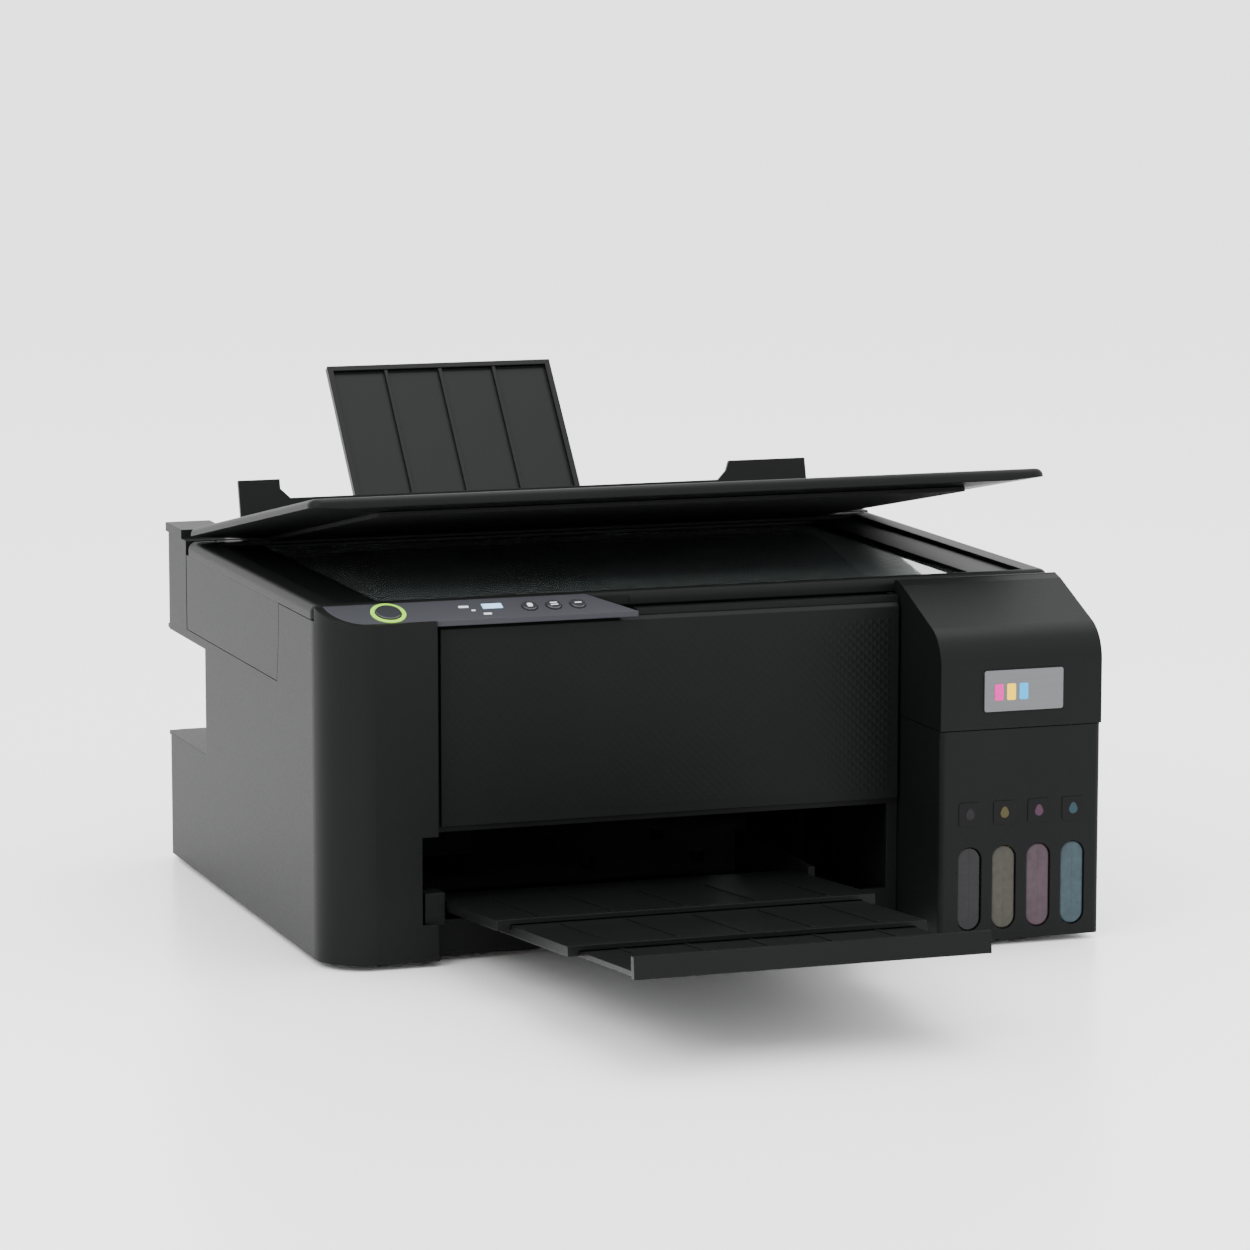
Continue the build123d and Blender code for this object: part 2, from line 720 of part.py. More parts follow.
# fixed back plate that the support slides in front of
support_half = 62
support_top_z = 253
support_out = (support_top_z - rim_top) / 0.766
with BuildPart() as feeder_back:
    add(lean_slab(-sheet_half - 6, sheet_half + 6, -4, bottom_v - 6, 8.6, 11))
    for side in (-1, 1):
        rail = sorted((side * (support_half + 0.4), side * (support_half + 4)))
        add(lean_slab(rail[0], rail[1], -4, bottom_v - 20, 4.2, 8.6))
save(feeder_back.part, "feeder_back")

with BuildPart() as paper_support:
    add(lean_slab(-support_half, support_half, -support_out, 8, 4.4, 8.2))
    add(lean_slab(-support_half + 3, support_half - 3, -support_out + 3, 9, 4.3, 6.4), mode=Mode.SUBTRACT)
    for x in (-30, 0, 30):
        add(lean_slab(x - 1, x + 1, -support_out + 3, 8, 4.8, 6.4))
save(paper_support.part, "paper_support")

guide_start = 46
guide_tall = 52
for name, side in (("edge_guide_left", -1), ("edge_guide_right", 1)):
    near = sorted((side * (sheet_half - 1), side * (sheet_half + 1.2)))
    base = sorted((side * (sheet_half - 16), side * (sheet_half + 1.2)))
    with BuildPart() as guide:
        add(lean_slab(near[0], near[1], guide_start, guide_start + guide_tall, -9, 0.4))
        add(lean_slab(base[0], base[1], guide_start, guide_start + guide_tall, -0.1, 0.4))
    save(guide.part, name)

# ---------------------------------------------------------------- output tray
tray_plane = Plane(
    origin=(tray_x, panel_y, tray_z),
    x_dir=(1, 0, 0),
    z_dir=Vector(0, 0, 1).rotate(Axis.X, -tray_lift),
)


def tray_slab(x0, x1, v0, v1, n0, n1):
    """A block on the tray plane: across, inwards from the front panel, and above it."""
    return tray_plane * slab(x0, x1, v0, v1, n0, n1)


def tray_place(v, n):
    """The (Y, Z) of a point on the tray plane, for sketches seen from the side."""
    point = tray_plane.from_local_coords(Vector(0, v, n))
    return point.Y, point.Z


stage_half = [tray_half, tray_half - 7, tray_half - 13]
stage_step = (tray_reach + 49) / 3
stage_out = [(2 - i) * stage_step - tray_reach - 50 for i in range(3)]
stage_long = stage_step + 27
bar_high = 10
flap_half = 30
for i in range(3):
    reach = stage_out[i]
    low = -i * tray_step - tray_plate
    wide = stage_half[i]
    with BuildPart() as stage:
        add(tray_slab(-wide, wide, reach, reach + stage_long, low, low + tray_plate))
        if i < 2:
            for side in (-1, 1):
                lip = sorted((side * (stage_half[i + 1] + 0.6), side * wide))
                add(tray_slab(lip[0], lip[1], reach, reach + stage_long, low - tray_plate, low))
        else:
            add(tray_slab(-wide - 3, wide + 3, reach, reach + 4, low, low + bar_high))
            window_half = flap_half + 0.4
            window_high = low + tray_plate + 1
            window = tray_slab(-window_half, window_half, reach + 5.5, reach + 33, low - 1, window_high)
            add(window, mode=Mode.SUBTRACT)
            with BuildSketch(Plane.YZ.offset(tray_x)):
                with Locations(tray_place(reach + 8, low + 1.2)):
                    Circle(0.95)
            extrude(amount=flap_half + 3, both=True, mode=Mode.SUBTRACT)
    save(stage.part, f"tray_stage_{i + 1}")

flap_low = -2 * tray_step - tray_plate
flap_in = stage_out[2] + 8
flap_at = tray_place(flap_in, flap_low + 1.2)
with BuildPart() as tray_stopper:
    add(tray_slab(-flap_half, flap_half, flap_in, flap_in + 24, flap_low + 0.2, flap_low + 2.2))
    with BuildSketch(Plane.YZ.offset(tray_x - flap_half)):
        with Locations(flap_at):
            Circle(1)
    extrude(amount=2 * flap_half)
    with BuildSketch(Plane.YZ.offset(tray_x)):
        with Locations(flap_at):
            Circle(0.9)
    extrude(amount=flap_half + 2.6, both=True)
save(tray_stopper.part, "tray_stopper")

# ---------------------------------------------------------------- print mechanism
rail_half = 178
rail_front = front + 221.5
rail_back = front + 223.5
pickup_y = front + 241.4
pickup_z = 111.9
belt_z = 106
pulley_radius = 6
pulley_x = 168
arm_places = (-151, 97)
with BuildPart() as carriage_rail:
    add(slab(-rail_half, rail_half, rail_front, rail_back, 84, 118))
    add(slab(-rail_half, rail_half, rail_front - 14, rail_back, 118, 119.5))
    for side in (-1, 1):
        end = sorted((side * (rail_half - 2), side * rail_half))
        add(slab(end[0], end[1], rail_front - 14, rail_back, foot_height + 3, 118))
    for x in arm_places:
        add(slab(x, x + 2, rail_back - 0.5, pickup_y + 6, 102, 119.5))
        with BuildSketch(Plane.YZ.offset(x - 1)):
            with Locations((pickup_y, pickup_z)):
                Circle(3.05)
        extrude(amount=4, mode=Mode.SUBTRACT)
    with BuildSketch(Plane.XZ.offset(-rail_front + 1)):
        for x in (-pulley_x, pulley_x):
            with Locations((x, belt_z)):
                Circle(1.55)
    extrude(amount=-5, mode=Mode.SUBTRACT)
save(carriage_rail.part, "carriage_rail")

car_half = 32
car_front = front + 168
car_back = front + 214
with BuildPart() as print_carriage:
    add(slab(cap_x - car_half, cap_x + car_half, car_front, car_back, 74, 114))
    fillet(print_carriage.edges().filter_by(Axis.Z), 3)
    for i in range(4):
        x = cap_x - 21 + i * 14
        cut(x - 6, x + 6, car_front + 5, car_back - 5, 82, 115)
    add(slab(cap_x - 20, cap_x + 20, car_back - 1, rail_front - 0.3, 85, 92))
    add(slab(cap_x - 8, cap_x + 8, car_back - 1, car_back + 5, 94, belt_z - pulley_radius - 1.2))
save(print_carriage.part, "print_carriage")

with BuildPart() as print_head:
    add(slab(cap_x - 22, cap_x + 22, front + 176, front + 208, 69, 74))
    fillet(print_head.edges().filter_by(Axis.Z), 2)
save(print_head.part, "print_head")

with BuildPart() as carriage_belt:
    with BuildSketch(Plane.XZ.offset(-front - 214.8)):
        with Locations((0, belt_z)):
            SlotCenterToCenter(2 * pulley_x, 2 * pulley_radius + 2)
            SlotCenterToCenter(2 * pulley_x, 2 * pulley_radius + 0.2, mode=Mode.SUBTRACT)
    extrude(amount=-4.4)
save(carriage_belt.part, "carriage_belt")

for name, x in (("carriage_drive_pulley", -pulley_x), ("carriage_idler_pulley", pulley_x)):
    with BuildPart() as pulley:
        with BuildSketch(Plane.XZ.offset(-front - 214.5)):
            with Locations((x, belt_z)):
                Circle(pulley_radius)
        extrude(amount=-5)
        with BuildSketch(Plane.XZ.offset(-front - 214.5)):
            with Locations((x, belt_z)):
                Circle(1.5)
        extrude(amount=-8.8)
    save(pulley.part, name)

with BuildPart() as drive_motors:
    with BuildSketch(Plane.XZ.offset(-rail_back)):
        with Locations((-pulley_x + 2, belt_z)):
            Circle(12)
    extrude(amount=-30)
    with BuildSketch(Plane.YZ.offset(-rail_half - 4)):
        with Locations((front + 190, 30)):
            Circle(13)
    extrude(amount=24)
    add(slab(-rail_half - 4, -rail_half + 20, front + 178, front + 202, foot_height + 3, 20))
save(drive_motors.part, "drive_motors")

feed_roller_y = front + 228
feed_roller_z = 60
eject_y = front + 164
eject_z = 59
pinch_radius = 3.5
pinch_z = feed_roller_z + 6.4 + pinch_radius
side_places = (-150, 94)
with BuildPart() as platen:
    add(slab(side_places[0], side_places[1] + 3, front + 178, front + 212, 58, platen_z - 1.5))
    for k in range(12):
        x = feed_x - 99 + k * 18
        add(slab(x - 1, x + 1, front + 179, front + 211, 60, platen_z))
    for x in side_places:
        add(slab(x, x + 3, front + 160, front + 236, foot_height + 3, 60))
        add(slab(x, x + 3, front + 160, front + 169, 50, 66))
        add(slab(x, x + 3, front + 220, front + 236, 50, 76))
        with BuildSketch(Plane.YZ.offset(x)):
            with Locations((feed_roller_y, feed_roller_z), (eject_y, eject_z)):
                Circle(3.05)
            with Locations((feed_roller_y, pinch_z)):
                Circle(1.55)
        extrude(amount=3, mode=Mode.SUBTRACT)
save(platen.part, "platen")


def roller(shaft, length, radius, shaft_radius, y, z, places):
    """A shaft along X with equal rubber rolls on it."""
    with BuildPart() as body:
        with BuildSketch(Plane.YZ.offset(shaft)):
            with Locations((y, z)):
                Circle(shaft_radius)
        extrude(amount=length)
        for x0, x1 in places:
            with BuildSketch(Plane.YZ.offset(x0)):
                with Locations((y, z)):
                    Circle(radius)
            extrude(amount=x1 - x0)
    return body.part


roll_wide = 16
rolls = [(feed_x + x - roll_wide / 2, feed_x + x + roll_wide / 2) for x in (-90, -30, 30, 90)]
shaft_x = side_places[0] - 2
shaft_long = side_places[1] - side_places[0] + 7
feed_cover = [(rolls[0][0], rolls[-1][1])]
save(roller(shaft_x, shaft_long, 6, 3, feed_roller_y, feed_roller_z, feed_cover), "feed_roller")
save(roller(shaft_x, shaft_long, 5, 3, eject_y, eject_z, rolls), "eject_roller")
save(roller(shaft_x, shaft_long, pinch_radius, 1.5, feed_roller_y, pinch_z, rolls), "pinch_rollers")
pickup_rolls = [(feed_x - 14, feed_x + 14)]
save(roller(arm_places[0] - 1, 252, 15, 3, pickup_y, pickup_z, pickup_rolls), "pickup_roller")

with BuildPart() as capping_station:
    add(slab(cap_x - 26, cap_x + 26, front + 174, front + 210, 20, 64))
    cut(cap_x - 20, cap_x + 20, front + 178, front + 206, 56, 65)
    add(slab(cap_x - 23, cap_x + 23, front + 176, front + 208, 64, 68.6))
    cut(cap_x - 20, cap_x + 20, front + 178, front + 206, 56, 69)
    with Locations((cap_x - 17, cap_y, 19), (cap_x + 17, cap_y, 19)):
        Cylinder(3.1, 28, align=(Align.CENTER, Align.CENTER, Align.MIN), mode=Mode.SUBTRACT)
save(capping_station.part, "capping_station")

# ---------------------------------------------------------------- electrics
with BuildPart() as power_supply:
    add(slab(-140, -50, front + 246, front + 320, foot_height + 8, 46))
    fillet(power_supply.edges().filter_by(Axis.Z), 3)
save(power_supply.part, "power_supply")

with BuildPart() as mainboard:
    add(slab(104, 172, front + 246, front + 340, 20, 21.6))
    add(slab(124, 142, front + 270, front + 288, 21.6, 24))
    add(slab(120, 132, front + 329, back - 0.5, 21.6, 33.5))
    cut(122, 130, front + 335, back + 1, 23.6, 31.5)
    for x in (108, 168):
        for y in (front + 250, front + 336):
            with Locations((x, y, foot_height + 3)):
                Cylinder(2.5, 14, align=(Align.CENTER, Align.CENTER, Align.MIN))
save(mainboard.part, "mainboard")

inlet_x = left + 42
with BuildPart() as mains_inlet:
    add(slab(inlet_x, inlet_x + 16, front + 280, front + 310, 80, 100))
    with BuildSketch(Plane.YZ.offset(left + 40)):
        with Locations((front + 295, 90)):
            SlotOverall(22, 12)
            SlotOverall(17, 8, mode=Mode.SUBTRACT)
    extrude(amount=2.2)
    with BuildSketch(Plane.YZ.offset(left + 39)):
        with Locations((front + 295, 90)):
            SlotOverall(17, 8)
    extrude(amount=14, mode=Mode.SUBTRACT)
    with BuildSketch(Plane.YZ.offset(left + 43)):
        with Locations((front + 291, 90), (front + 299, 90)):
            Circle(1)
    extrude(amount=11)
save(mains_inlet.part, "mains_inlet")
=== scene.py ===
import math

import bmesh
import bpy
from mathutils import Euler, Matrix, Vector


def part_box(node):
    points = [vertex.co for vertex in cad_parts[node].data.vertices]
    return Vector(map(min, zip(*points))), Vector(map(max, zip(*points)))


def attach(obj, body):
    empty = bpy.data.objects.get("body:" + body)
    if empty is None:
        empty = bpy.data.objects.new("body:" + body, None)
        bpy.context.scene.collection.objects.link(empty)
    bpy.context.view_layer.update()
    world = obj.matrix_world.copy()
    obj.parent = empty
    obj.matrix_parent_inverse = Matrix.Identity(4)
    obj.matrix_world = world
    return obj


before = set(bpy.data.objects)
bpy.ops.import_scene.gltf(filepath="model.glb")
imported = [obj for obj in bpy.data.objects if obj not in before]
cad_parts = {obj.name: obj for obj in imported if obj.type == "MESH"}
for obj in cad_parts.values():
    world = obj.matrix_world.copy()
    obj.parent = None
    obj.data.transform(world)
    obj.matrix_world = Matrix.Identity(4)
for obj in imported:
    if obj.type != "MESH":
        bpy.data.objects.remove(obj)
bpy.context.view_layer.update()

bl_info = {
    "name": "Ink Tank Inkjet Printer",
    "version": (1, 0, 0),
    "blender": (4, 5, 0),
    "location": "View3D > Sidebar > Printer",
    "description": "Finishes and small parts for a desktop inkjet printer",
    "category": "Object",
}

MM = 0.001
INKS = ("black", "yellow", "magenta", "cyan")
TANK_FIRST = (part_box("ink_tank_black")[0][0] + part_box("ink_tank_black")[1][0]) / 2
TANK_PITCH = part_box("ink_tank_yellow")[0][0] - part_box("ink_tank_black")[0][0]
TANK_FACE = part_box("tank_housing")[0][1]


# ------------------------------------------------------------ small tools
def linear(hex_colour):
    """Turns an sRGB hex colour into linear red, green, blue and alpha."""
    digits = hex_colour.lstrip("#")
    channels = [int(digits[i:i + 2], 16) / 255 for i in (0, 2, 4)]
    return [c / 12.92 if c <= 0.04045 else ((c + 0.055) / 1.055) ** 2.4 for c in channels] + [1.0]


def add(tree, kind, inputs=None, **settings):
    """Adds a node, sets its settings, and sets or links its inputs."""
    node = tree.nodes.new(kind)
    for name, value in settings.items():
        setattr(node, name, value)
    for key, value in (inputs or {}).items():
        if isinstance(value, bpy.types.NodeSocket):
            tree.links.new(value, node.inputs[key])
        else:
            node.inputs[key].default_value = value
    return node


def new_material(name):
    """An empty node material with its shader and output joined."""
    made = bpy.data.materials.new(name)
    made.use_nodes = True
    made.node_tree.nodes.clear()
    tree = made.node_tree
    shader = add(tree, "ShaderNodeBsdfPrincipled")
    add(tree, "ShaderNodeOutputMaterial", {"Surface": shader.outputs[0]})
    return made, tree, shader


def grained(name, colour, roughness, grain_mm, relief, spread=0.06, edge_mm=0.7, coat=0.0, sheen=0.08):
    """Moulded plastic or rubber: an eroded grain, slow drifts of colour and gloss, and eased edges."""
    made, tree, shader = new_material(name)
    place = add(tree, "ShaderNodeTexCoord").outputs["Object"]
    grain = add(tree, "ShaderNodeTexNoise", {"Vector": place, "Scale": 1 / (grain_mm * MM), "Detail": 2.0})
    drift = add(tree, "ShaderNodeTexNoise", {"Vector": place, "Scale": 14.0, "Detail": 3.0})
    tone = linear(colour)
    light = [min(1.0, c * (1 + 3 * spread) + 0.0004) for c in tone[:3]] + [1.0]
    dark = [c * (1 - 2 * spread) for c in tone[:3]] + [1.0]
    blend = add(tree, "ShaderNodeMath", {0: grain.outputs[0], 1: drift.outputs[0]}, operation="MULTIPLY_ADD")
    blend.inputs[2].default_value = 0.2
    ramp = add(tree, "ShaderNodeValToRGB", {"Fac": blend.outputs[0]})
    ramp.color_ramp.elements[0].color = dark
    ramp.color_ramp.elements[0].position = 0.25
    ramp.color_ramp.elements[1].color = light
    ramp.color_ramp.elements[1].position = 0.7
    tree.links.new(ramp.outputs[0], shader.inputs["Base Color"])
    gloss = add(tree, "ShaderNodeMapRange", {"Value": grain.outputs[0]})
    gloss.inputs["To Min"].default_value = max(0.04, roughness - 0.07)
    gloss.inputs["To Max"].default_value = min(1.0, roughness + 0.07)
    tree.links.new(gloss.outputs[0], shader.inputs["Roughness"])
    edge = add(tree, "ShaderNodeBevel", {"Radius": edge_mm * MM}, samples=6)
    bump = add(tree, "ShaderNodeBump", {"Height": grain.outputs[0], "Normal": edge.outputs[0]})
    bump.inputs["Strength"].default_value = relief
    bump.inputs["Distance"].default_value = 0.08 * grain_mm * MM
    tree.links.new(bump.outputs[0], shader.inputs["Normal"])
    shader.inputs["IOR"].default_value = 1.53
    shader.inputs["Specular IOR Level"].default_value = sheen
    shader.inputs["Coat Weight"].default_value = coat
    shader.inputs["Coat Roughness"].default_value = 0.12
    return made


def sheet_steel(name, colour, roughness, across):
    """Rolled or ground steel: fine lines along the working direction."""
    made, tree, shader = new_material(name)
    place = add(tree, "ShaderNodeTexCoord").outputs["Object"]
    squash = add(tree, "ShaderNodeMapping", {"Vector": place, "Scale": across})
    lines = add(tree, "ShaderNodeTexNoise", {"Vector": squash.outputs[0], "Scale": 900.0, "Detail": 3.0})
    gloss = add(tree, "ShaderNodeMapRange", {"Value": lines.outputs[0]})
    gloss.inputs["To Min"].default_value = roughness - 0.08
    gloss.inputs["To Max"].default_value = roughness + 0.12
    tree.links.new(gloss.outputs[0], shader.inputs["Roughness"])
    edge = add(tree, "ShaderNodeBevel", {"Radius": 0.2 * MM}, samples=4)
    bump = add(tree, "ShaderNodeBump", {"Height": lines.outputs[0], "Normal": edge.outputs[0]})
    bump.inputs["Strength"].default_value = 0.15
    bump.inputs["Distance"].default_value = 0.02 * MM
    tree.links.new(bump.outputs[0], shader.inputs["Normal"])
    shader.inputs["Base Color"].default_value = linear(colour)
    shader.inputs["Metallic"].default_value = 1.0
    return made


def see_through(name, colour, roughness, weight, ior):
    """Clear glass or tinted plastic with faint surface waves."""
    made, tree, shader = new_material(name)
    place = add(tree, "ShaderNodeTexCoord").outputs["Object"]
    wave = add(tree, "ShaderNodeTexNoise", {"Vector": place, "Scale": 60.0, "Detail": 2.0})
    gloss = add(tree, "ShaderNodeMapRange", {"Value": wave.outputs[0]})
    gloss.inputs["To Min"].default_value = roughness
    gloss.inputs["To Max"].default_value = roughness + 0.05
    tree.links.new(gloss.outputs[0], shader.inputs["Roughness"])
    bump = add(tree, "ShaderNodeBump", {"Height": wave.outputs[0], "Strength": 0.05, "Distance": 0.2 * MM})
    tree.links.new(bump.outputs[0], shader.inputs["Normal"])
    shader.inputs["Base Color"].default_value = linear(colour)
    shader.inputs["Transmission Weight"].default_value = weight
    shader.inputs["IOR"].default_value = ior
    return made


def lit(name, colour, strength):
    """A light guide or display window that glows a little through its surface."""
    made, tree, shader = new_material(name)
    place = add(tree, "ShaderNodeTexCoord").outputs["Object"]
    cloud = add(tree, "ShaderNodeTexNoise", {"Vector": place, "Scale": 220.0, "Detail": 2.0})
    ramp = add(tree, "ShaderNodeValToRGB", {"Fac": cloud.outputs[0]})
    tone = linear(colour)
    ramp.color_ramp.elements[0].color = [c * 0.8 for c in tone[:3]] + [1.0]
    ramp.color_ramp.elements[1].color = [min(1.0, c * 1.15) for c in tone[:3]] + [1.0]
    tree.links.new(ramp.outputs[0], shader.inputs["Base Color"])
    tree.links.new(ramp.outputs[0], shader.inputs["Emission Color"])
    shader.inputs["Emission Strength"].default_value = strength
    shader.inputs["Roughness"].default_value = 0.3
    return made


def circuit_board(name):
    """FR4 board with green solder resist over copper tracks, which show as a faint paler grid."""
    made, tree, shader = new_material(name)
    place = add(tree, "ShaderNodeTexCoord").outputs["Object"]
    tracks = add(tree, "ShaderNodeTexBrick", {"Vector": place, "Scale": 160.0, "Mortar Size": 0.03})
    tracks.inputs["Color1"].default_value = linear("#0f4a24")
    tracks.inputs["Color2"].default_value = linear("#0c3f1f")
    tracks.inputs["Mortar"].default_value = linear("#2a7a48")
    tree.links.new(tracks.outputs["Color"], shader.inputs["Base Color"])
    bump = add(tree, "ShaderNodeBump",
               {"Height": tracks.outputs["Fac"], "Strength": 0.3, "Distance": 0.05 * MM})
    tree.links.new(bump.outputs[0], shader.inputs["Normal"])
    shader.inputs["Roughness"].default_value = 0.35
    return made


def piece(name, mesh, body, material):
    """Links a finished mesh as a piece that rides on a body."""
    made = bpy.data.objects.new(name, mesh)
    bpy.context.scene.collection.objects.link(made)
    mesh.materials.clear()
    mesh.materials.append(material)
    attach(made, body)
    return made


def piece_from(bm, name, body, key):
    """Closes a bmesh and links it as a piece with one of the named finishes."""
    return piece(name, mesh_from(bm, name), body, finish(key))


def mesh_from(bm, name):
    """Closes a bmesh into a mesh with its faces outward."""
    bmesh.ops.remove_doubles(bm, verts=bm.verts, dist=1e-7)
    bmesh.ops.recalc_face_normals(bm, faces=bm.faces)
    mesh = bpy.data.meshes.new(name)
    bm.to_mesh(mesh)
    bm.free()
    return mesh


def plate(outline, thick, place, bevel=0.0002):
    """A plate from a flat outline in X and Y, raised along Z, its top edge eased, then placed."""
    bm = bmesh.new()
    base = [bm.verts.new((x, y, 0)) for x, y in outline]
    face = bm.faces.new(base)
    grown = bmesh.ops.extrude_face_region(bm, geom=[face])
    top = [v for v in grown["geom"] if isinstance(v, bmesh.types.BMVert)]
    bmesh.ops.translate(bm, verts=top, vec=(0, 0, thick))
    if bevel:
        rim = [e for e in bm.edges if all(v in top for v in e.verts)]
        ease = min(bevel, thick * 0.45)
        bmesh.ops.bevel(bm, geom=rim, offset=ease, segments=2, affect="EDGES", profile=0.5)
    bmesh.ops.transform(bm, matrix=place, verts=bm.verts)
    return bm


def rounded(width, height, radius, steps=5):
    """The outline of a rectangle with round corners."""
    points = []
    corners = ((1, 1, 0), (-1, 1, 90), (-1, -1, 180), (1, -1, 270))
    for sx, sy, start in corners:
        cx = sx * (width / 2 - radius)
        cy = sy * (height / 2 - radius)
        for k in range(steps + 1):
            angle = math.radians(start + 90 * k / steps)
            points.append((cx + radius * math.cos(angle), cy + radius * math.sin(angle)))
    return points


def ring(outer, inner, thick, place, steps=64):
    """A flat ring with eased edges, turned from a small rounded section."""
    bm = bmesh.new()
    ease = min(thick, outer - inner) * 0.3
    section = [(inner, 0), (outer, 0), (outer, thick - ease), (outer - ease, thick),
               (inner + ease, thick), (inner, thick - ease)]
    loops = []
    for k in range(steps):
        angle = 2 * math.pi * k / steps
        loops.append([bm.verts.new((r * math.cos(angle), r * math.sin(angle), z)) for r, z in section])
    for k in range(steps):
        here, there = loops[k], loops[(k + 1) % steps]
        for j in range(len(section)):
            n = (j + 1) % len(section)
            bm.faces.new((here[j], here[n], there[n], there[j]))
    bmesh.ops.transform(bm, matrix=place, verts=bm.verts)
    return bm


def facing_front(x, y, z):
    """Places a plate on a front face: its X to the right, its Y up, its Z towards the viewer."""
    return Matrix.Translation((x, y, z)) @ Euler((math.radians(90), 0, 0)).to_matrix().to_4x4()


def merged(parts, name):
    """Joins several bmeshes into one mesh."""
    whole = bmesh.new()
    for bm in parts:
        scrap = bpy.data.meshes.new("scrap")
        bm.to_mesh(scrap)
        bm.free()
        whole.from_mesh(scrap)
        bpy.data.meshes.remove(scrap)
    return mesh_from(whole, name)


# ------------------------------------------------------------ repeated parts
def evaluated_mesh(holder, name):
    """Turns a Geometry Nodes result into a plain mesh and removes the working object."""
    holder.update_tag()
    bpy.context.view_layer.update()
    graph = bpy.context.evaluated_depsgraph_get()
    mesh = bpy.data.meshes.new_from_object(holder.evaluated_get(graph))
    holder.modifiers.clear()
    bpy.data.objects.remove(holder)
    mesh.name = name
    return mesh


def tree_input(tree, label, kind, default):
    """Adds a named input to a Geometry Nodes tree and returns its identifier."""
    socket = tree.interface.new_socket(label, in_out="INPUT", socket_type=kind)
    if default is not None:
        socket.default_value = default
    return socket.identifier


def run_tree(tree, name, values):
    """Puts a tree on an empty working object, with its inputs set before it is evaluated."""
    holder = bpy.data.objects.new(name + "_work", bpy.data.meshes.new(name + "_work"))
    bpy.context.scene.collection.objects.link(holder)
    work = holder.modifiers.new("repeat", "NODES")
    work.node_group = tree
    for identifier, value in values.items():
        work[identifier] = value
    return holder


def row_tree():
    """A row of copies of one part: count, start and step, then real meshes."""
    tree = bpy.data.node_groups.new("RowOfParts", "GeometryNodeTree")
    tree.interface.new_socket("Geometry", in_out="OUTPUT", socket_type="NodeSocketGeometry")
    names = {
        "part": tree_input(tree, "Part", "NodeSocketObject", None),
        "count": tree_input(tree, "Count", "NodeSocketInt", 4),
        "start": tree_input(tree, "Start", "NodeSocketVector", (0, 0, 0)),
        "step": tree_input(tree, "Step", "NodeSocketVector", (0.01, 0, 0)),
        "material": tree_input(tree, "Material", "NodeSocketMaterial", None),
    }
    given = add(tree, "NodeGroupInput")
    line = add(tree, "GeometryNodeMeshLine", {"Count": given.outputs["Count"]}, mode="OFFSET")
    tree.links.new(given.outputs["Start"], line.inputs["Start Location"])
    tree.links.new(given.outputs["Step"], line.inputs["Offset"])
    part = add(tree, "GeometryNodeObjectInfo", {"Object": given.outputs["Part"]})
    copies = add(tree, "GeometryNodeInstanceOnPoints",
                 {"Points": line.outputs[0], "Instance": part.outputs["Geometry"]})
    real = add(tree, "GeometryNodeRealizeInstances", {"Geometry": copies.outputs[0]})
    done = add(tree, "GeometryNodeSetMaterial",
               {"Geometry": real.outputs[0], "Material": given.outputs["Material"]})
    add(tree, "NodeGroupOutput", {0: done.outputs[0]})
    return tree, names


def row_of(name, bm, count, start, step, body, material):
    """Repeats one small part along a line and makes the result one piece."""
    tree, names = row_tree()
    part = bpy.data.objects.new(name + "_part", mesh_from(bm, name + "_part"))
    bpy.context.scene.collection.objects.link(part)
    values = {names["part"]: part, names["count"]: count, names["start"]: start,
              names["step"]: step, names["material"]: material}
    made = piece(name, evaluated_mesh(run_tree(tree, name, values), name), body, material)
    bpy.data.objects.remove(part)
    return made


